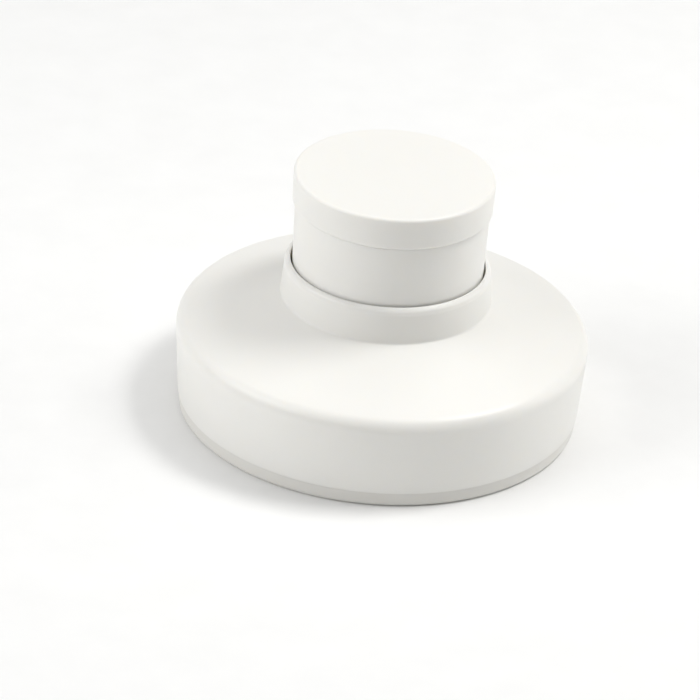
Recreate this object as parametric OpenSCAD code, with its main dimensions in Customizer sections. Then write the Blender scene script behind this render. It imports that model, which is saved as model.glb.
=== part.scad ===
// Hand burger press: a round hollow housing with a smooth mould ring inside it, and
// a sprung plunger whose palm knob slides in a collar on the housing's top.
// The press stands on its foot at z = 0, and its axis is the Z axis.
// A profile is a list of [radius, height, corner radius] going round a half section.

/* [Overall] */
// Diameter at the theoretical corner of the housing's top edge
body_d = 120; // [110:0.5:130]
// Height from the foot to the top of the knob at rest
overall_h = 76; // [74:0.5:80]
// How far the knob and the plate travel
stroke = 15; // [10:0.5:15]

/* [Housing] */
// Wall thickness of the outer shell
shell_t = 1.7; // [1.5:0.05:1.8]
// How much narrower the side wall is at its lower rim, on radius
wall_draft = 1.6; // [1.2:0.1:1.6]
// Height of the theoretical corner between the side wall and the dome
shoulder_z = 27.4; // [27:0.1:29]
// Radius of the rounded top edge
shoulder_r = 4; // [3:0.5:5]
// Height at which the dome meets the collar
collar_base_z = 37.2; // [36.5:0.1:38]
// Outer diameter at the foot of the collar
collar_base_d = 60.8; // [60.6:0.1:61.6]
// Outer diameter at the lip of the collar
collar_lip_d = 59.6; // [59.4:0.1:60]
// Height of the collar's lip
collar_z = 48; // [47:0.1:49]
// Bore of the collar
collar_bore_d = 56.4; // [56.4:0.1:56.6]

/* [Mould ring and guide plate] */
// Inner diameter of the mould, which is the patty's diameter
mould_d = 110; // [108:0.5:110]
// Wall thickness of the mould ring
mould_t = 1.5; // [1.2:0.1:1.5]
// Height of the foot band that shows under the housing's rim
foot_h = 4.5; // [4:0.1:5]
// How far the foot band is set in from the housing's rim, on radius
foot_step = 0.4; // [0.3:0.1:0.5]
// Height of the guide plate's underside
guide_z = 22.8; // [22.6:0.1:23]
// Thickness of the guide plate
guide_t = 1.8; // [1.5:0.1:1.8]
// Height of the top of the guide tube
guide_top_z = 36; // [34:0.1:36]
// Number of stiffening ribs on the guide plate
guide_ribs = 8; // [4:4:12]

/* [Plunger] */
// Diameter of the cross-ribbed stem
stem_d = 16; // [15:0.5:16]
// Thickness of the stem's four ribs
stem_rib_t = 2.4; // [2:0.1:2.6]
// Radial gap between the stem and its guide
guide_gap = 0.3; // [0.3:0.05:0.4]
// Gap between the press plate and the mould, on radius
plate_gap = 0.5; // [0.4:0.1:0.8]
// Height of the plate's underside at rest
plate_z = 16.2; // [16:0.1:16.4]
// Thickness of the plate
plate_t = 2; // [1.8:0.1:2]
// Number of concentric ridges under the plate
ridges = 5; // [3:1:5]
// Height of each ridge
ridge_h = 0.8; // [0.5:0.1:0.8]
// Number of stiffening ribs on top of the plate
plate_ribs = 8; // [4:4:12]

/* [Knob] */
// Diameter of the knob's cap at its top
cap_top_d = 57.9; // [57.6:0.1:58.2]
// Diameter of the knob's cap at the seam
cap_low_d = 57.5; // [57.4:0.1:57.6]
// Height of the seam between the cap and the knob's body
seam_z = 66.2; // [65.5:0.1:67]
// Diameter of the knob's body at the seam
knob_top_d = 56; // [55.8:0.1:56]
// Diameter of the knob's body at its lower end
knob_low_d = 55; // [54.6:0.1:55.2]
// Height of the knob's lower end at rest
knob_low_z = 43; // [42:0.1:44]
// Wall thickness of the knob
knob_t = 1.8; // [1.6:0.1:2]
// Height of the underside of the web inside the knob
web_z = 60; // [59:0.1:60]

/* [Spring] */
// Wire diameter
wire_d = 1.4; // [1:0.1:1.6]
// Mean diameter of the coils
coil_d = 25.6; // [25:0.1:27]
// Number of turns, closed end turns included
turns = 9; // [7:1:10]

/* [Hidden] */
$fn = 96;
eps = 0.05;
corner_steps = 6;

white = [0.94, 0.935, 0.91];
cream = [0.92, 0.92, 0.90];
steel = [0.72, 0.73, 0.74];
grey_rubber = [0.35, 0.36, 0.37];

// Housing
body_r = body_d / 2;
rim_r = body_r - wall_draft;
rim_round = 0.4;
collar_root_round = 0.7;
collar_wall_low_z = 33;
lip_bevel = 0.15;
lip_flat = 0.05;
lip_round = (collar_lip_d - collar_bore_d) / 2 - lip_bevel - lip_flat;

// Mould ring
mould_r = mould_d / 2;
ring_r = mould_r + mould_t;
foot_r = rim_r - foot_step;
lip_w = 4;
lip_r = mould_r - lip_w;
lip_t = 1.4;
foot_taper = 0.15;
foot_round = 1.3;
mouth_round = 0.6;

// Guide plate, which clamps the ring's lip against the housing
ring_gap = 0.2;
guide_plate_r = mould_r - ring_gap;
guide_top_face_z = guide_z + guide_t;
guide_r = stem_d / 2 + guide_gap;
guide_wall = 2;
guide_end_t = 2;
guide_rib_h = 3;
guide_rib_t = 1.5;
rib_start_r = 16.5;
rib_end_gap = 0.5;
post_count = 4;
post_circle_r = 42;
post_r = 3.6;
post_depth = 6.2;

// Fasteners
screw_r = 1.5;
screw_hole_r = 1.9;
pilot_r = 1.55;
head_r = 3.3;
head_h = 1.8;
recess_w = 0.9;
recess_l = 3.2;
recess_depth = 1.1;
washer_t = 0.6;
washer_gap = 0.2;
screw_tip_gap = 0.6;
screw_sides = 32;
boss_sides = 48;
through = 1;

// Plunger
plate_r = mould_r - plate_gap;
plate_top_z = plate_z + plate_t;
plate_skirt_t = 1.5;
plate_skirt_z = 21.8;
plate_rib_h = 2.2;
plate_rib_t = 1.6;
ridge_pitch = 8.4;
ridge_first_r = 13;
plate_rib_bite = 1;
flange_r = 13;
flange_t = 2;
hub_r = flange_r + eps;
hub_wall = 2;
boss_r = 3.4;
plate_screw_l = 13;
countersink_r = 3.9;
countersink_gap = 0.1;
bumper_ri = 9.2;
bumper_ro = 12.6;
bumper_z = plate_top_z + flange_t;
bumper_gap = 0.2;

// Knob
web_t = 2;
stop_gap = 0.2;
socket_z = guide_top_z + stroke + stop_gap;
plug_t = 1.6;
plug_gap = 0.35;
plug_depth = 3.2;
plug_shelf = 1.5;
cap_t = 2;
cap_seam_round = 0.7;
cap_top_round = 0.9;
knob_ribs = 6;
knob_rib_h = 4;
knob_rib_t = 1.5;
knob_screw_l = 12;
knob_washer_r = 5.5;

// Spring
spring_low_z = guide_top_face_z + washer_t;
spring_high_z = web_z - washer_t;
spring_washer_r = 15.4;
spring_washer_gap = 0.3;
closed_pitch = 1.04;
wire_sides = 8;
rings_per_turn = 20;

function unit(v) = v / norm(v);

// Points along the arc that rounds the corner at b, between the sides from a and to c
function corner(a, b, c, r) =
    let (
        to_a = unit(a - b),
        to_c = unit(c - b),
        half = acos(to_a * to_c) / 2,
        centre = b + unit(to_a + to_c) * r / sin(half),
        from = b + to_a * r / tan(half) - centre,
        start = atan2(from[1], from[0]),
        turn = cross(b - a, c - b) > 0 ? 1 : -1,
        sweep = turn * (180 - 2 * half)
    )
    [for (i = [0:corner_steps])
        centre + r * [cos(start + sweep * i / corner_steps), sin(start + sweep * i / corner_steps)]];

function flat(p) = [p[0], p[1]];

// Replaces each [radius, height, corner radius] by its own point or its rounding arc
function rounded(pts) =
    let (n = len(pts))
    [for (i = [0:n - 1])
        each pts[i][2] > 0
            ? corner(flat(pts[(i + n - 1) % n]), flat(pts[i]), flat(pts[(i + 1) % n]), pts[i][2])
            : [flat(pts[i])]];

// Centre line of the spring's wire: closed end turns, and an even pitch between them
function coil_z(t) =
    let (
        low = spring_low_z + wire_d / 2 + eps,
        high = spring_high_z - wire_d / 2 - eps,
        closed = wire_d * closed_pitch,
        pitch = (high - low - 2 * closed) / (turns - 2)
    )
    t < 1 ? low + closed * t
          : t > turns - 1 ? high - closed * (turns - t)
                          : low + closed + pitch * (t - 1);

module turned(pts) {
    rotate_extrude() polygon(rounded(pts));
}

module ring(inner_r, outer_r, low, high) {
    translate([0, 0, low])
        difference() {
            cylinder(r = outer_r, h = high - low);
            translate([0, 0, -eps]) cylinder(r = inner_r, h = high - low + 2 * eps);
        }
}

module around(count, first = 0) {
    for (i = [0:count - 1])
        rotate([0, 0, first + i * 360 / count]) children();
}

module radial_rib(from_r, to_r, thick, low, high) {
    translate([from_r, -thick / 2, low])
        cube([to_r - from_r, thick, high - low]);
}

// Four ribs crossing on the axis, inside a circle of the given diameter
module cross_section(d, rib) {
    intersection() {
        circle(d = d);
        union() {
            square([d + 1, rib], center = true);
            square([rib, d + 1], center = true);
        }
    }
}

// Cross slot for a screwdriver, cut upwards from z = 0
module drive_recess() {
    for (a = [0, 90])
        rotate([0, 0, a])
            translate([-recess_l / 2, -recess_w / 2, -eps])
                cube([recess_l, recess_w, recess_depth + eps]);
}

// Pan-head screw with its head below z = 0 and its shank going up
module pan_screw(length) {
    difference() {
        union() {
            turned([[0, -head_h, 0], [head_r, -head_h, 0.9], [head_r, 0, 0], [0, 0, 0]]);
            cylinder(r = screw_r, h = length);
        }
        translate([0, 0, -head_h]) drive_recess();
    }
}

module housing() {
    dome_z = collar_base_z - shell_t;
    inner_base_r = collar_bore_d / 2 + shell_t;
    color(white)
    difference() {
        turned([
            [0, foot_h, 0],
            [rim_r, foot_h, rim_round],
            [body_r, shoulder_z, shoulder_r],
            [collar_base_d / 2, collar_base_z, collar_root_round],
            [collar_lip_d / 2, collar_z, lip_round],
            [0, collar_z, 0]
        ]);
        difference() {
            turned([
                [0, foot_h - 1, 0],
                [rim_r - shell_t, foot_h - 1, 0],
                [rim_r - shell_t, foot_h, 0],
                [body_r - shell_t, shoulder_z - shell_t, shoulder_r - shell_t],
                [inner_base_r, dome_z, 0],
                [inner_base_r, collar_wall_low_z, 0],
                [0, collar_wall_low_z, 0]
            ]);
            around(post_count, 45)
                translate([post_circle_r, 0, guide_top_face_z])
                    cylinder(r = post_r, h = collar_z);
        }
        turned([
            [0, collar_wall_low_z - 1, 0],
            [collar_bore_d / 2, collar_wall_low_z - 1, 0],
            [collar_bore_d / 2, collar_z - lip_bevel, 0],
            [collar_bore_d / 2 + lip_bevel + eps, collar_z + eps, 0],
            [0, collar_z + eps, 0]
        ]);
        around(post_count, 45)
            translate([post_circle_r, 0, guide_top_face_z - eps])
                cylinder(r = pilot_r, h = post_depth, $fn = screw_sides);
    }
}

module mould_ring() {
    color(cream)
    turned([
        [mould_r, 0, mouth_round],
        [foot_r - foot_taper, 0, foot_round],
        [foot_r, foot_h, 0],
        [ring_r, foot_h, 0],
        [ring_r, guide_top_face_z + lip_t, 1],
        [lip_r, guide_top_face_z + lip_t, 0.3],
        [lip_r, guide_top_face_z, 0.3],
        [mould_r, guide_top_face_z, 0]
    ]);
}

module guide_plate() {
    tube_r = guide_r + guide_wall;
    color(cream)
    difference() {
        union() {
            turned([
                [guide_plate_r, guide_z, 0.5],
                [guide_plate_r, guide_top_face_z, 0],
                [tube_r, guide_top_face_z, 0],
                [tube_r, guide_top_z, 0.5],
                [0, guide_top_z, 0],
                [0, guide_top_z - guide_end_t, 0],
                [guide_r, guide_top_z - guide_end_t, 0],
                [guide_r, guide_z, 0]
            ]);
            around(guide_ribs, 180 / guide_ribs)
                radial_rib(rib_start_r, lip_r - rib_end_gap, guide_rib_t, guide_z + 1,
                           guide_top_face_z + guide_rib_h);
        }
        translate([0, 0, guide_top_z - guide_end_t - through])
            linear_extrude(guide_end_t + 2 * through)
                cross_section(2 * guide_r, stem_rib_t + 2 * guide_gap);
        translate([0, 0, guide_top_z - guide_end_t - through])
            cylinder(r = boss_r + guide_gap, h = guide_end_t + 2 * through, $fn = boss_sides);
        around(post_count, 45)
            translate([post_circle_r, 0, guide_z - through])
                cylinder(r = screw_hole_r, h = guide_t + 2 * through, $fn = screw_sides);
    }
}

module guide_screws() {
    color(steel)
    around(post_count, 45)
        translate([post_circle_r, 0, guide_z])
            pan_screw(guide_t + post_depth - screw_tip_gap, $fn = screw_sides);
}

module lower_spring_washer() {
    color(steel)
    ring(guide_r + guide_wall + spring_washer_gap, spring_washer_r, guide_top_face_z,
         guide_top_face_z + washer_t);
}

module return_spring() {
    steps = turns * rings_per_turn;
    wire = [for (i = [0:steps], k = [0:wire_sides - 1])
        let (
            a = 360 * i / rings_per_turn,
            b = 360 * k / wire_sides,
            r = coil_d / 2 + wire_d / 2 * cos(b)
        )
        [r * cos(a), r * sin(a), coil_z(i / rings_per_turn) + wire_d / 2 * sin(b)]];
    sides = [for (i = [0:steps - 1], k = [0:wire_sides - 1])
        let (k2 = (k + 1) % wire_sides, n = i * wire_sides)
        [n + k, n + k2, n + wire_sides + k2, n + wire_sides + k]];
    low_end = [for (k = [wire_sides - 1:-1:0]) k];
    high_end = [for (k = [0:wire_sides - 1]) steps * wire_sides + k];
    color(steel)
    polyhedron(points = wire, faces = concat(sides, [low_end, high_end]));
}

module press_plate() {
    color(white)
    difference() {
        union() {
            turned([
                [0, plate_z, 0],
                [plate_r, plate_z, 0.8],
                [plate_r, plate_skirt_z, 0.4],
                [plate_r - plate_skirt_t, plate_skirt_z, 0.4],
                [plate_r - plate_skirt_t, plate_top_z, 1],
                [hub_r + hub_wall, plate_top_z, 0],
                [hub_r + hub_wall, plate_top_z + flange_t, 0.4],
                [hub_r, plate_top_z + flange_t, 0],
                [hub_r, plate_top_z, 0],
                [0, plate_top_z, 0]
            ]);
            for (i = [0:ridges - 1])
                rotate_extrude()
                    translate([ridge_first_r + i * ridge_pitch, plate_z])
                        circle(r = ridge_h, $fn = screw_sides);
            around(plate_ribs)
                radial_rib(hub_r + plate_rib_bite, plate_r - plate_rib_bite, plate_rib_t,
                           plate_top_z - plate_rib_bite, plate_top_z + plate_rib_h);
        }
        translate([0, 0, plate_z - through])
            cylinder(r = screw_hole_r, h = plate_t + 2 * through, $fn = boss_sides);
        translate([0, 0, plate_z - eps])
            cylinder(r1 = countersink_r + countersink_gap, r2 = screw_hole_r,
                     h = plate_t - 2 * countersink_gap, $fn = boss_sides);
    }
}

module plunger_stem() {
    color(cream)
    difference() {
        union() {
            translate([0, 0, plate_top_z]) cylinder(r = flange_r, h = flange_t);
            translate([0, 0, plate_top_z + eps])
                linear_extrude(web_z - plate_top_z - eps) cross_section(stem_d, stem_rib_t);
            translate([0, 0, plate_top_z + eps])
                cylinder(r = boss_r, h = web_z - plate_top_z - eps, $fn = boss_sides);
        }
        translate([0, 0, plate_top_z - through])
            cylinder(r = pilot_r, h = plate_screw_l + through, $fn = screw_sides);
        translate([0, 0, web_z - knob_screw_l])
            cylinder(r = pilot_r, h = knob_screw_l + through, $fn = screw_sides);
    }
}

module plate_screw() {
    color(steel)
    translate([0, 0, plate_z + countersink_gap])
    difference() {
        union() {
            cylinder(r1 = countersink_r - countersink_gap, r2 = screw_r,
                     h = plate_t - 3 * countersink_gap, $fn = boss_sides);
            cylinder(r = screw_r, h = plate_t + plate_screw_l - screw_tip_gap, $fn = screw_sides);
        }
        drive_recess();
    }
}

module stop_bumper() {
    color(grey_rubber)
    turned([
        [bumper_ri, bumper_z, 0],
        [bumper_ro, bumper_z, 0],
        [bumper_ro, guide_z - bumper_gap, 0.6],
        [bumper_ri, guide_z - bumper_gap, 0.6]
    ]);
}

module knob_body() {
    top_r = knob_top_d / 2;
    low_r = knob_low_d / 2;
    web_r = low_r + (top_r - low_r) * (web_z - knob_low_z) / (seam_z - knob_low_z) - knob_t;
    color(white)
    difference() {
        union() {
            turned([
                [low_r - knob_t, knob_low_z, 0.4],
                [low_r, knob_low_z, 0.6],
                [top_r, seam_z, 0.35],
                [top_r - knob_t, seam_z, 0],
                [web_r, web_z + web_t, 0.6],
                [0, web_z + web_t, 0],
                [0, web_z, 0],
                [web_r, web_z, 0.8]
            ]);
            ring(guide_r, guide_r + guide_wall, socket_z, web_z + eps);
            around(knob_ribs)
                radial_rib(rib_start_r, web_r + rib_end_gap, knob_rib_t, web_z - knob_rib_h, web_z + eps);
        }
        translate([0, 0, web_z - through])
            cylinder(r = screw_hole_r, h = web_t + 2 * through, $fn = screw_sides);
    }
}

module upper_spring_washer() {
    color(steel)
    ring(guide_r + guide_wall + spring_washer_gap, spring_washer_r, web_z - washer_t, web_z);
}

module knob_screw() {
    color(steel)
    translate([0, 0, web_z + web_t + washer_t])
        rotate([180, 0, 0])
            pan_screw(web_t + washer_t + knob_screw_l - screw_tip_gap, $fn = screw_sides);
}

module knob_washer() {
    color(steel)
    ring(screw_r + washer_gap, knob_washer_r, web_z + web_t, web_z + web_t + washer_t);
}

module knob_cap() {
    top_r = cap_top_d / 2;
    plug_r = knob_top_d / 2 - knob_t - plug_gap;
    color(white)
    turned([
        [0, overall_h, 0],
        [0, overall_h - cap_t, 0],
        [top_r - cap_t, overall_h - cap_t, 1],
        [top_r - cap_t, seam_z + plug_shelf, 0.4],
        [plug_r - plug_t, seam_z + plug_shelf, 0],
        [plug_r - plug_t, seam_z - plug_depth, 0.3],
        [plug_r, seam_z - plug_depth, 0.5],
        [plug_r, seam_z, 0],
        [cap_low_d / 2, seam_z, cap_seam_round],
        [top_r, overall_h, cap_top_round]
    ]);
}

housing();
mould_ring();
guide_plate();
guide_screws();
lower_spring_washer();
return_spring();
press_plate();
plunger_stem();
plate_screw();
stop_bumper();
knob_body();
upper_spring_washer();
knob_screw();
knob_washer();
knob_cap();
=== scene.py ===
import math

import bmesh
import bpy
from mathutils import Matrix, Vector


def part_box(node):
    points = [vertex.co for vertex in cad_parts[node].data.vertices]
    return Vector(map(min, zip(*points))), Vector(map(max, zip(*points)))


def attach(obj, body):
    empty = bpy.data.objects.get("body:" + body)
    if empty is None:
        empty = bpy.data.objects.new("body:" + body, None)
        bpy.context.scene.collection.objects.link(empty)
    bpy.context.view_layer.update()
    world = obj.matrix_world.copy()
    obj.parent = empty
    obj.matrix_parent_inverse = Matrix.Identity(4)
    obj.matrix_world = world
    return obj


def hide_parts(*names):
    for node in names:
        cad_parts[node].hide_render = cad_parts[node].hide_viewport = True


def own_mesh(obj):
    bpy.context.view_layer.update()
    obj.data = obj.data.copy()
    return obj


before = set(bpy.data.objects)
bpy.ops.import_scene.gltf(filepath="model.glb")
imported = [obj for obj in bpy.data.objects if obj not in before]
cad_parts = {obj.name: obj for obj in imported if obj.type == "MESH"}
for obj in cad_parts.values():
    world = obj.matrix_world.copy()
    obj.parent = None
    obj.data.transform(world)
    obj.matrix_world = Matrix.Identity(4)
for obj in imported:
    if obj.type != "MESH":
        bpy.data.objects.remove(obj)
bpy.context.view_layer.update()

MM = 0.001
TURN = 2 * math.pi
HOUSING_BODY = "housing_assembly"
PLUNGER_BODY = "plunger_assembly"

# Heights and radii that the CAD nodes' boxes give, in metres
housing_low, housing_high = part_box("housing")
plate_low, plate_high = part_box("press_plate")
knob_low, knob_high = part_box("knob_body")
cap_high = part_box("knob_cap")[1]
spring_low, spring_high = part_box("return_spring")
bumper_low, bumper_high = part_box("stop_bumper")
guide_low, guide_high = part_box("guide_plate")

foot_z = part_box("mould_ring")[0].z
rim_z = housing_low.z
collar_z = housing_high.z
seam_z = knob_high.z
top_z = cap_high.z

# Wall and corner sizes that a box can't give, in metres: the same values as the CAD design
BODY_R = 60.0 * MM
WALL_DRAFT = 1.6 * MM
RIM_ROUND = 0.25 * MM
SHOULDER_R = 4.0 * MM
SHELL_T = 1.7 * MM
DOME_RISE = 9.8 * MM
COLLAR_H = 10.8 * MM
COLLAR_WALL_H = 15.0 * MM
COLLAR_BASE_R = 30.4 * MM
COLLAR_LIP_R = 29.8 * MM
COLLAR_BORE_R = 28.2 * MM
COLLAR_ROOT_ROUND = 0.7 * MM
INNER_ROOT_ROUND = 0.5 * MM
# The lip's turn-over, from its outer edge: how far out, how far up, corner radius, in millimetres
LIP_TURN = ((0.12, -2.1, 2.0), (-0.16, -1.05, 1.2), (-0.44, -0.62, 0.9), (-1.05, -0.08, 0.7))
LIP_BEVEL = 0.15 * MM
POSTS = 4
POST_CIRCLE_R = 42.0 * MM
POST_R = 3.6 * MM
POST_DEPTH = 6.2 * MM
POST_SINK = 0.8 * MM
POST_SIDES = 40
PILOT_R = 1.55 * MM
MOULD_T = 1.5 * MM
MOUTH_ROUND = 0.6 * MM
FOOT_STEP = 0.4 * MM
FOOT_R = BODY_R - WALL_DRAFT - FOOT_STEP
FOOT_TAPER = 0.15 * MM
FOOT_ROUND = 1.3 * MM
LIP_W = 4.0 * MM
LIP_T = 1.4 * MM
GUIDE_GAP = 0.2 * MM
GUIDE_T = 1.8 * MM
WIRE_D = 1.4 * MM
WIRE_SIDES = 16
SPRING_TURNS = 9
SPRING_STEPS = 48
CLOSED_PITCH = 1.04
PLATE_T = 2.0 * MM
PLATE_SKIRT_T = 1.5 * MM
PLATE_ROUND = 0.8 * MM
PLATE_RIBS = 8
PLATE_RIB_H = 2.2 * MM
PLATE_RIB_T = 1.6 * MM
PLATE_RIB_BITE = 1.0 * MM
RIDGES = 5
RIDGE_H = 0.8 * MM
RIDGE_FOOT_W = 1.05 * MM
RIDGE_TOP_W = 0.5 * MM
RIDGE_FIRST_R = 13.0 * MM
RIDGE_PITCH = 8.4 * MM
HUB_R = 13.05 * MM
HUB_WALL = 2.0 * MM
FLANGE_T = 2.0 * MM
HOLE_R = 1.9 * MM
COUNTERSINK_R = 4.0 * MM
COUNTERSINK_LAND = 0.25 * MM
COUNTERSINK_ROUND = 0.1 * MM
BUMPER_W = 3.4 * MM
KNOB_T = 1.8 * MM
KNOB_TAPER = 0.5 * MM
KNOB_RIBS = 6
KNOB_RIB_H = 4.0 * MM
KNOB_RIB_T = 1.5 * MM
KNOB_RIB_START_R = 16.5 * MM
WEB_T = 2.0 * MM
WEB_DROP = 6.2 * MM
WEB_ROUND = 0.8 * MM
SOCKET_R = 8.3 * MM
SOCKET_WALL = 2.0 * MM
SOCKET_LOW_Z = 51.2 * MM
CAP_TAPER = 0.2 * MM
CAP_SEAM_ROUND = 1.1 * MM
CAP_TOP_ROUND = 0.9 * MM
CAP_T = 2.0 * MM
PLUG_DEPTH = 3.2 * MM
PLUG_SHELF = 1.5 * MM
PLUG_GAP = 0.35 * MM
PLUG_T = 1.6 * MM
PLUG_ROUND = 0.5 * MM

collar_base_z = collar_z - COLLAR_H
shoulder_z = collar_base_z - DOME_RISE
guide_disc_top_z = guide_low.z + GUIDE_T

# Small moulded edge roundings that several pieces share
HAIRLINE = 0.15 * MM
FINE = 0.2 * MM
EASED = 0.3 * MM
SOFT = 0.4 * MM
ROUND = 0.6 * MM
FILLET = 1.0 * MM

# Mesh detail, how far a joined part reaches into its neighbour, the floor's half width, and the
# radius under which a point counts as on the axis
SEGMENTS = 256
SMALL_SEGMENTS = 96
ARC_STEPS = 8
BEVEL_STEPS = 3
FLAT_MARGIN = 0.25 * MM
OVERLAP = 0.5 * MM
FLOOR_HALF = 4.0
ON_AXIS = 1e-7


# ---------------------------------------------------------------- camera and light

def make_camera():
    """A long lens that looks down at the press and is rolled a little."""
    focal_px, frame_px, sensor = 5093.0, 700.0, 36.0
    elevation, roll = 0.5013, 0.0783
    distance = 1485.4 * MM
    aside, raised = -8.0 * MM, 12.31 * MM
    back = Vector((0, -math.cos(elevation), math.sin(elevation)))
    level = Vector((1, 0, 0))
    upright = back.cross(level)
    right = math.cos(roll) * level + math.sin(roll) * upright
    up = math.cos(roll) * upright - math.sin(roll) * level
    data = bpy.data.cameras.new("camera")
    data.sensor_width = sensor
    data.lens = focal_px * sensor / frame_px
    data.clip_start, data.clip_end = 0.05, 50
    camera = bpy.data.objects.new("camera", data)
    place = Vector((0, 0, rim_z)) + right * aside + up * raised + back * distance
    turn = Matrix((right, up, back)).transposed().to_4x4()
    camera.matrix_world = Matrix.Translation(place) @ turn
    bpy.context.scene.collection.objects.link(camera)
    bpy.context.scene.camera = camera


def area_light(name, azimuth, elevation, distance, size, watts, colour=(1, 1, 1)):
    """A soft box aimed at the object. Azimuth 0 is the camera's side and 90 its right, in degrees."""
    a, e = math.radians(azimuth), math.radians(elevation)
    away = Vector((math.sin(a) * math.cos(e), -math.cos(a) * math.cos(e), math.sin(e)))
    data = bpy.data.lights.new(name, "AREA")
    data.shape = "RECTANGLE"
    data.size, data.size_y = size
    data.energy = watts
    data.color = colour
    light = bpy.data.objects.new(name, data)
    light.location = Vector((0, 0, collar_z)) + away * distance
    light.rotation_mode = "QUATERNION"
    light.rotation_quaternion = away.to_track_quat("Z", "Y")
    bpy.context.scene.collection.objects.link(light)


def make_lights():
    """A high, soft key from the right, an overhead sheet and a fill on each side."""
    area_light("key", azimuth=100, elevation=60, distance=1.2, size=(0.4, 0.4), watts=7.1,
               colour=(1, 0.995, 0.98))
    area_light("overhead", azimuth=180, elevation=78, distance=1.3, size=(1.3, 1.3), watts=6.4)
    area_light("left_fill", azimuth=-70, elevation=30, distance=1.3, size=(1.1, 0.8), watts=9.3)
    area_light("right_fill", azimuth=98, elevation=16, distance=1.3, size=(0.9, 0.7), watts=3.8)
    world = bpy.data.worlds.new("studio")
    world.use_nodes = True
    sky = world.node_tree.nodes["Background"]
    sky.inputs["Color"].default_value = (1, 1, 0.99, 1)
    sky.inputs["Strength"].default_value = 0.20
    bpy.context.scene.world = world
    bpy.context.scene.view_settings.view_transform = "Standard"


# ---------------------------------------------------------------- node helpers

# The part of 0 to 1 that most of a noise's values fall in
NOISE_LOW, NOISE_HIGH = 0.3, 0.7


def new_material(name):
    material = bpy.data.materials.new(name)
    material.use_nodes = True
    return material, material.node_tree, material.node_tree.nodes["Principled BSDF"]


def add_noise(tree, coords, scale, detail=2.0, roughness=0.5):
    noise = tree.nodes.new("ShaderNodeTexNoise")
    noise.inputs["Scale"].default_value = scale
    noise.inputs["Detail"].default_value = detail
    noise.inputs["Roughness"].default_value = roughness
    tree.links.new(coords, noise.inputs["Vector"])
    return noise.outputs["Fac"]


def add_range(tree, value, low, high):
    ranged = tree.nodes.new("ShaderNodeMapRange")
    ranged.inputs["From Min"].default_value = NOISE_LOW
    ranged.inputs["From Max"].default_value = NOISE_HIGH
    ranged.inputs["To Min"].default_value = low
    ranged.inputs["To Max"].default_value = high
    tree.links.new(value, ranged.inputs["Value"])
    return ranged.outputs["Result"]


def add_ramp(tree, value, dark, light):
    ramp = tree.nodes.new("ShaderNodeValToRGB")
    ramp.color_ramp.elements[0].position = NOISE_LOW
    ramp.color_ramp.elements[0].color = (*dark, 1)
    ramp.color_ramp.elements[1].position = NOISE_HIGH
    ramp.color_ramp.elements[1].color = (*light, 1)
    tree.links.new(value, ramp.inputs["Fac"])
    return ramp.outputs["Color"]


def add_bump(tree, height, distance, strength, normal=None):
    bump = tree.nodes.new("ShaderNodeBump")
    bump.inputs["Distance"].default_value = distance
    bump.inputs["Strength"].default_value = strength
    tree.links.new(height, bump.inputs["Height"])
    if normal is not None:
        tree.links.new(normal, bump.inputs["Normal"])
    return bump.outputs["Normal"]


def object_coords(tree):
    return tree.nodes.new("ShaderNodeTexCoord").outputs["Object"]


# ---------------------------------------------------------------- materials

def plastic(name, colour, roughness, grain):
    """Satin moulded plastic: fine spark-eroded grain, faint flow marks and handling marks."""
    material, tree, shader = new_material(name)
    coords = object_coords(tree)
    flow = add_noise(tree, coords, scale=28, detail=3)
    marks = add_noise(tree, coords, scale=160, detail=4, roughness=0.6)
    dark = tuple(c * 0.985 for c in colour)
    tree.links.new(add_ramp(tree, flow, dark, colour), shader.inputs["Base Color"])
    tree.links.new(add_range(tree, marks, low=roughness - 0.04, high=roughness + 0.05),
                   shader.inputs["Roughness"])
    waves = add_bump(tree, flow, distance=0.12 * MM, strength=0.25)
    fine = add_noise(tree, coords, scale=2600, detail=2, roughness=0.6)
    tree.links.new(add_bump(tree, fine, distance=0.02 * MM, strength=grain, normal=waves),
                   shader.inputs["Normal"])
    shader.inputs["IOR"].default_value = 1.49
    shader.inputs["Subsurface Weight"].default_value = 0.3
    shader.inputs["Subsurface Radius"].default_value = (1.0, 0.9, 0.75)
    shader.inputs["Subsurface Scale"].default_value = 2.0 * MM
    return material


def steel(name, colour, roughness, stretch):
    """Turned or drawn stainless steel: fine lines whose direction the stretch gives."""
    material, tree, shader = new_material(name)
    mapping = tree.nodes.new("ShaderNodeMapping")
    mapping.inputs["Scale"].default_value = stretch
    tree.links.new(object_coords(tree), mapping.inputs["Vector"])
    lines = add_noise(tree, mapping.outputs["Vector"], scale=900, detail=3, roughness=0.7)
    dark = tuple(c * 0.86 for c in colour)
    tree.links.new(add_ramp(tree, lines, dark, colour), shader.inputs["Base Color"])
    tree.links.new(add_range(tree, lines, low=roughness - 0.06, high=roughness + 0.1),
                   shader.inputs["Roughness"])
    tree.links.new(add_bump(tree, lines, distance=0.01 * MM, strength=0.5), shader.inputs["Normal"])
    shader.inputs["Metallic"].default_value = 1.0
    return material


def rubber(name, colour):
    """Matt dark rubber with a little dust."""
    material, tree, shader = new_material(name)
    coords = object_coords(tree)
    dust = add_noise(tree, coords, scale=300, detail=4, roughness=0.65)
    light = tuple(c * 1.25 for c in colour)
    tree.links.new(add_ramp(tree, dust, colour, light), shader.inputs["Base Color"])
    tree.links.new(add_range(tree, dust, low=0.7, high=0.88), shader.inputs["Roughness"])
    grain = add_noise(tree, coords, scale=1800, detail=2)
    tree.links.new(add_bump(tree, grain, distance=0.03 * MM, strength=0.5), shader.inputs["Normal"])
    return material


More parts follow.
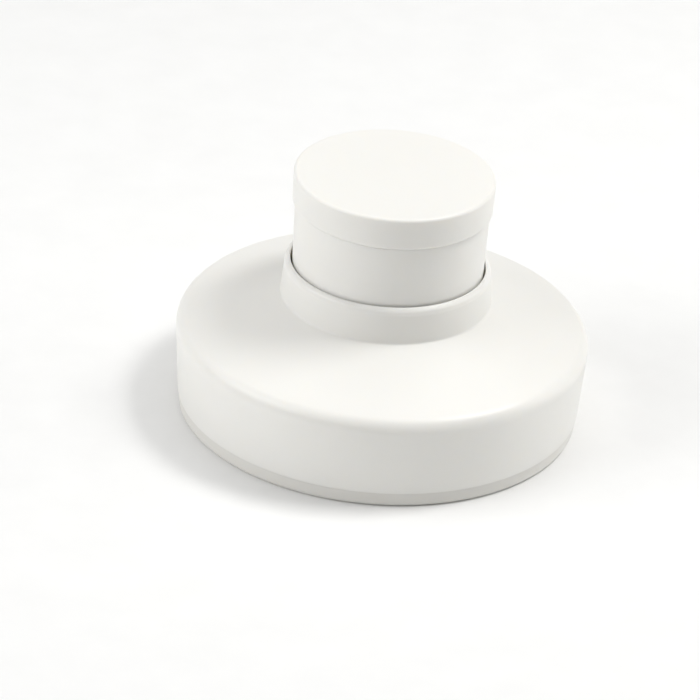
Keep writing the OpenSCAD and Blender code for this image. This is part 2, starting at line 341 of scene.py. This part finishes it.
def floor_paper():
    material, tree, shader = new_material("floor_paper")
    coords = object_coords(tree)
    fibres = add_noise(tree, coords, scale=60, detail=4, roughness=0.6)
    tree.links.new(add_ramp(tree, fibres, dark=(0.86, 0.86, 0.855), light=(0.88, 0.88, 0.875)),
                   shader.inputs["Base Color"])
    tree.links.new(add_range(tree, fibres, low=0.75, high=0.85), shader.inputs["Roughness"])
    shader.inputs["Specular IOR Level"].default_value = 0.2
    return material


# ---------------------------------------------------------------- mesh helpers

def link(name, mesh):
    piece = bpy.data.objects.new(name, mesh)
    bpy.context.scene.collection.objects.link(piece)
    return piece


def round_corner(before, corner, after, radius):
    """Points of the arc that rounds a corner of a profile."""
    to_before = (before - corner).normalized()
    to_after = (after - corner).normalized()
    half = to_before.angle(to_after) / 2
    centre = corner + (to_before + to_after).normalized() * radius / math.sin(half)
    spoke = corner + to_before * radius / math.tan(half) - centre
    bend = (corner - before).x * (after - corner).y - (corner - before).y * (after - corner).x
    sweep = math.copysign(math.pi - 2 * half, bend)
    points = []
    for i in range(ARC_STEPS + 1):
        a = sweep * i / ARC_STEPS
        turned = Vector((spoke.x * math.cos(a) - spoke.y * math.sin(a),
                         spoke.x * math.sin(a) + spoke.y * math.cos(a)))
        points.append(centre + turned)
    return points


def rounded_profile(corners, closed):
    """Rounds each (radius, height, corner radius), and adds points that keep the flats flat."""
    spots = [Vector(c[:2]) for c in corners]
    runs = []
    for i, corner in enumerate(corners):
        at_end = not closed and i in (0, len(corners) - 1)
        if corner[2] > 0 and not at_end:
            runs.append(round_corner(spots[i - 1], spots[i], spots[(i + 1) % len(spots)], corner[2]))
        else:
            runs.append([spots[i]])
    points = []
    count = len(runs)
    for i, run in enumerate(runs):
        points.extend(run)
        if i == count - 1 and not closed:
            break
        start, end = run[-1], runs[(i + 1) % count][0]
        length = (end - start).length
        if length > 4 * FLAT_MARGIN:
            way = (end - start) / length
            points.append(start + way * FLAT_MARGIN)
            points.append(end - way * FLAT_MARGIN)
    return points


def skin_rings(bm, rings, segments, closed=False):
    """Faces between neighbouring rings of vertices. A ring of one vertex is a point on the axis."""
    pairs = list(zip(rings, rings[1:]))
    if closed:
        pairs.append((rings[-1], rings[0]))
    for a, b in pairs:
        for k in range(segments):
            n = (k + 1) % segments
            quad = [a[k % len(a)], a[n % len(a)], b[n % len(b)], b[k % len(b)]]
            face = list(dict.fromkeys(quad))
            if len(face) > 2:
                bm.faces.new(face)


def lathe_into(bm, corners, closed=True, segments=SEGMENTS):
    """Turns a profile about Z. An open profile starts and ends on the axis."""
    rings = []
    for p in rounded_profile(corners, closed):
        if p.x < ON_AXIS:
            rings.append([bm.verts.new((0, 0, p.y))])
            continue
        spokes = [TURN * k / segments for k in range(segments)]
        rings.append([bm.verts.new((p.x * math.cos(a), p.x * math.sin(a), p.y)) for a in spokes])
    skin_rings(bm, rings, segments, closed)


def finish_mesh(bm, name, sharp=40):
    """Turns a bmesh into a linked, smooth-shaded piece. Edges over the angle, in degrees, stay sharp."""
    bmesh.ops.recalc_face_normals(bm, faces=bm.faces)
    mesh = bpy.data.meshes.new(name)
    bm.to_mesh(mesh)
    bm.free()
    mesh.shade_smooth()
    mesh.set_sharp_from_angle(angle=math.radians(sharp))
    return link(name, mesh)


def lathe(name, corners, closed=True, segments=SEGMENTS):
    bm = bmesh.new()
    lathe_into(bm, corners, closed, segments)
    return finish_mesh(bm, name)


def dress(piece, body, material, node):
    """Puts a piece on its body and material, in place of its CAD node."""
    piece.data.materials.append(material)
    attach(piece, body)
    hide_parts(node)


def add_post(bm, angle):
    """A screw post with a blind hole, whose top follows the dome's inner slope."""
    middle = Vector((POST_CIRCLE_R * math.cos(angle), POST_CIRCLE_R * math.sin(angle)))
    low, hole_end = guide_disc_top_z, guide_disc_top_z + POST_DEPTH

    def dome_height(spot):
        return dome_inner_z(spot.length) + POST_SINK

    def ring(radius, height=None):
        """A circle round the post's middle. Without a height it follows the dome."""
        verts = []
        for k in range(POST_SIDES):
            a = TURN * k / POST_SIDES
            spot = middle + radius * Vector((math.cos(a), math.sin(a)))
            z = dome_height(spot) if height is None else height
            verts.append(bm.verts.new((spot.x, spot.y, z)))
        return verts

    rings = [[bm.verts.new((*middle, hole_end))], ring(PILOT_R, hole_end), ring(PILOT_R, low + EASED),
             ring(PILOT_R + EASED, low), ring(POST_R - EASED, low), ring(POST_R, low + EASED),
             ring(POST_R), [bm.verts.new((*middle, dome_height(middle)))]]
    skin_rings(bm, rings, POST_SIDES)


def add_rib(bm, from_r, to_r, thick, low, high, angle):
    """A radial stiffening rib with eased edges."""
    size = Matrix.Diagonal((to_r - from_r, thick, high - low, 1))
    place = Matrix.Rotation(angle, 4, "Z") @ Matrix.Translation(((from_r + to_r) / 2, 0, (low + high) / 2))
    made = bmesh.ops.create_cube(bm, size=1, matrix=place @ size)
    edges = list({e for v in made["verts"] for e in v.link_edges})
    bmesh.ops.bevel(bm, geom=edges, offset=EASED, segments=BEVEL_STEPS, affect="EDGES", profile=0.5)


def unite(piece, extra):
    """Joins another piece into a piece. The other is used up."""
    step = piece.modifiers.new("unite", "BOOLEAN")
    step.object = extra
    step.operation = "UNION"
    step.solver = "EXACT"
    bpy.context.view_layer.update()
    mesh = bpy.data.meshes.new_from_object(piece.evaluated_get(bpy.context.evaluated_depsgraph_get()))
    piece.modifiers.clear()
    old = piece.data
    piece.data = mesh
    bpy.data.meshes.remove(old)
    bpy.data.objects.remove(extra)
    mesh.name = piece.name


# ---------------------------------------------------------------- pieces of the housing

def dome_inner_z(radius):
    """Height of the dome's inner face at a radius."""
    outer_r = BODY_R - SHELL_T
    inner_r = COLLAR_BORE_R + SHELL_T
    share = (outer_r - radius) / (outer_r - inner_r)
    return shoulder_z - SHELL_T + share * (collar_base_z - shoulder_z)


def lip_corners():
    """The collar's outer top edge, which turns over slowly at first and then faster."""
    return [(COLLAR_LIP_R + out * MM, collar_z + up * MM, r * MM) for out, up, r in LIP_TURN]


def housing_shell(material):
    rim_r = BODY_R - WALL_DRAFT
    wall_low_z = collar_z - COLLAR_WALL_H
    inner_r = COLLAR_BORE_R + SHELL_T
    shell = lathe("housing_shell", [
        (rim_r - SHELL_T, rim_z, EASED),
        (rim_r, rim_z, RIM_ROUND),
        (BODY_R, shoulder_z, SHOULDER_R),
        (COLLAR_BASE_R, collar_base_z, COLLAR_ROOT_ROUND),
        *lip_corners(),
        (COLLAR_BORE_R, collar_z, LIP_BEVEL),
        (COLLAR_BORE_R, wall_low_z, EASED),
        (inner_r, wall_low_z, EASED),
        (inner_r, collar_base_z - SHELL_T, INNER_ROOT_ROUND),
        (BODY_R - SHELL_T, shoulder_z - SHELL_T, SHOULDER_R - SHELL_T),
    ])
    bm = bmesh.new()
    for k in range(POSTS):
        add_post(bm, TURN * (k + 0.5) / POSTS)
    unite(shell, finish_mesh(bm, "posts"))
    dress(shell, HOUSING_BODY, material, "housing")


def mould_wall(material):
    mould_r = guide_high.x + GUIDE_GAP
    lip_low_z = guide_disc_top_z
    wall = lathe("mould_wall", [
        (mould_r, foot_z, MOUTH_ROUND),
        (FOOT_R - FOOT_TAPER, foot_z, FOOT_ROUND),
        (FOOT_R, rim_z, HAIRLINE),
        (mould_r + MOULD_T, rim_z, 0),
        (mould_r + MOULD_T, lip_low_z + LIP_T, FILLET),
        (mould_r - LIP_W, lip_low_z + LIP_T, EASED),
        (mould_r - LIP_W, lip_low_z, EASED),
        (mould_r, lip_low_z, 0),
    ])
    dress(wall, HOUSING_BODY, material, "mould_ring")


def spring_coil(material):
    """The sprung wire: closed end turns, and an even pitch between them."""
    wire_r = WIRE_D / 2
    mean_r = spring_high.x - wire_r
    low, high = spring_low.z + wire_r, spring_high.z - wire_r
    end_pitch = WIRE_D * CLOSED_PITCH
    pitch = (high - low - 2 * end_pitch) / (SPRING_TURNS - 2)

    def height(t):
        if t < 1:
            return low + end_pitch * t
        if t > SPRING_TURNS - 1:
            return high - end_pitch * (SPRING_TURNS - t)
        return low + end_pitch + pitch * (t - 1)

    bm = bmesh.new()
    rings = []
    for i in range(SPRING_TURNS * SPRING_STEPS + 1):
        t = i / SPRING_STEPS
        a = TURN * t
        ring = []
        for k in range(WIRE_SIDES):
            b = TURN * k / WIRE_SIDES
            r = mean_r + wire_r * math.cos(b)
            ring.append(bm.verts.new((r * math.cos(a), r * math.sin(a), height(t) + wire_r * math.sin(b))))
        rings.append(ring)
    skin_rings(bm, rings, WIRE_SIDES)
    bm.faces.new(rings[0])
    bm.faces.new(rings[-1])
    coil = finish_mesh(bm, "spring_coil", sharp=60)
    dress(coil, HOUSING_BODY, material, "return_spring")
    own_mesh(coil)


# ---------------------------------------------------------------- pieces of the plunger

def ridge(radius, z):
    """Corners of one rounded ridge on the underside of the plate."""
    return [(radius - RIDGE_FOOT_W, z, EASED), (radius - RIDGE_TOP_W, z - RIDGE_H, SOFT),
            (radius + RIDGE_TOP_W, z - RIDGE_H, SOFT), (radius + RIDGE_FOOT_W, z, EASED)]


def ridged_plate(material):
    plate_r = plate_high.x
    under_z = plate_low.z + RIDGE_H
    over_z = under_z + PLATE_T
    corners = [(HOLE_R, over_z, 0), (HOLE_R, over_z - COUNTERSINK_LAND, 0),
               (COUNTERSINK_R, under_z, COUNTERSINK_ROUND)]
    for i in range(RIDGES):
        corners += ridge(RIDGE_FIRST_R + i * RIDGE_PITCH, under_z)
    corners += [
        (plate_r, under_z, PLATE_ROUND),
        (plate_r, plate_high.z, SOFT),
        (plate_r - PLATE_SKIRT_T, plate_high.z, SOFT),
        (plate_r - PLATE_SKIRT_T, over_z, FILLET),
        (HUB_R + HUB_WALL, over_z, FINE),
        (HUB_R + HUB_WALL, over_z + FLANGE_T, SOFT),
        (HUB_R, over_z + FLANGE_T, FINE),
        (HUB_R, over_z, 0),
    ]
    plate = lathe("ridged_plate", corners)
    bm = bmesh.new()
    for k in range(PLATE_RIBS):
        add_rib(bm, HUB_R + PLATE_RIB_BITE, plate_r - PLATE_RIB_BITE, PLATE_RIB_T,
                over_z - PLATE_RIB_BITE, over_z + PLATE_RIB_H, TURN * k / PLATE_RIBS)
    unite(plate, finish_mesh(bm, "plate_ribs"))
    dress(plate, PLUNGER_BODY, material, "press_plate")


def knob_skirt(material):
    top_r = knob_high.x
    low_r = top_r - KNOB_TAPER
    web_z = seam_z - WEB_DROP
    web_r = top_r - KNOB_TAPER * WEB_DROP / (seam_z - knob_low.z) - KNOB_T
    skirt = lathe("knob_skirt", [
        (low_r - KNOB_T, knob_low.z, SOFT),
        (low_r, knob_low.z, ROUND),
        (top_r, seam_z, HAIRLINE),
        (top_r - KNOB_T, seam_z, FINE),
        (web_r, web_z + WEB_T, ROUND),
        (HOLE_R, web_z + WEB_T, 0),
        (HOLE_R, web_z, 0),
        (web_r, web_z, WEB_ROUND),
    ])
    bm = bmesh.new()
    lathe_into(bm, [
        (SOCKET_R, SOCKET_LOW_Z, FINE),
        (SOCKET_R + SOCKET_WALL, SOCKET_LOW_Z, EASED),
        (SOCKET_R + SOCKET_WALL, web_z + OVERLAP, 0),
        (SOCKET_R, web_z + OVERLAP, 0),
    ], segments=SMALL_SEGMENTS)
    for k in range(KNOB_RIBS):
        add_rib(bm, KNOB_RIB_START_R, web_r + OVERLAP, KNOB_RIB_T,
                web_z - KNOB_RIB_H, web_z + OVERLAP, TURN * k / KNOB_RIBS)
    unite(skirt, finish_mesh(bm, "knob_ribs"))
    dress(skirt, PLUNGER_BODY, material, "knob_body")


def knob_lid(material):
    top_r = cap_high.x
    plug_r = knob_high.x - KNOB_T - PLUG_GAP
    lid = lathe("knob_lid", [
        (0, top_z, 0),
        (top_r, top_z, CAP_TOP_ROUND),
        (top_r - CAP_TAPER, seam_z, CAP_SEAM_ROUND),
        (plug_r, seam_z, 0),
        (plug_r, seam_z - PLUG_DEPTH, PLUG_ROUND),
        (plug_r - PLUG_T, seam_z - PLUG_DEPTH, EASED),
        (plug_r - PLUG_T, seam_z + PLUG_SHELF, 0),
        (top_r - CAP_T, seam_z + PLUG_SHELF, SOFT),
        (top_r - CAP_T, top_z - CAP_T, FILLET),
        (0, top_z - CAP_T, 0),
    ], closed=False)
    dress(lid, PLUNGER_BODY, material, "knob_cap")


def bumper_ring(material):
    inner_r = bumper_high.x - BUMPER_W
    ring = lathe("bumper_ring", [
        (inner_r, bumper_low.z, EASED),
        (bumper_high.x, bumper_low.z, EASED),
        (bumper_high.x, bumper_high.z, ROUND),
        (inner_r, bumper_high.z, ROUND),
    ], segments=SMALL_SEGMENTS)
    dress(ring, PLUNGER_BODY, material, "stop_bumper")


# ---------------------------------------------------------------- the whole

def make_floor():
    bm = bmesh.new()
    bmesh.ops.create_grid(bm, x_segments=8, y_segments=8, size=FLOOR_HALF)
    floor = finish_mesh(bm, "floor")
    floor.location.z = foot_z
    floor.data.materials.append(floor_paper())


def paint_cad(material, *names):
    """Gives CAD nodes that stay as they are a better material."""
    for name in names:
        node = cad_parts[name]
        node.data.materials.clear()
        node.data.materials.append(material)


def make_object():
    white = (0.86, 0.85, 0.815)
    housing_white = plastic("housing_white", white, roughness=0.38, grain=0.3)
    knob_white = plastic("knob_white", white, roughness=0.40, grain=0.3)
    # The insert white is the housing white made darker and warmer: painted shade and a painted warm
    # reflection for the foot band, which the plate, guide plate and stem share
    insert_white_painted_shade = plastic("insert_white_painted_shade", (0.77, 0.757, 0.72), roughness=0.36, grain=0.2)
    turned_steel = steel("turned_steel", (0.62, 0.62, 0.63), roughness=0.3, stretch=(1, 1, 14))
    wire_steel = steel("wire_steel", (0.6, 0.6, 0.61), roughness=0.26, stretch=(1, 1, 6))
    soft_rubber = rubber("soft_rubber", (0.09, 0.09, 0.095))
    housing_shell(housing_white)
    mould_wall(insert_white_painted_shade)
    spring_coil(wire_steel)
    ridged_plate(insert_white_painted_shade)
    knob_skirt(knob_white)
    knob_lid(knob_white)
    bumper_ring(soft_rubber)
    paint_cad(insert_white_painted_shade, "guide_plate", "plunger_stem")
    paint_cad(turned_steel, "guide_screws", "plate_screw", "knob_screw", "knob_washer",
              "lower_spring_washer", "upper_spring_washer")


make_camera()
make_lights()
make_floor()
make_object()
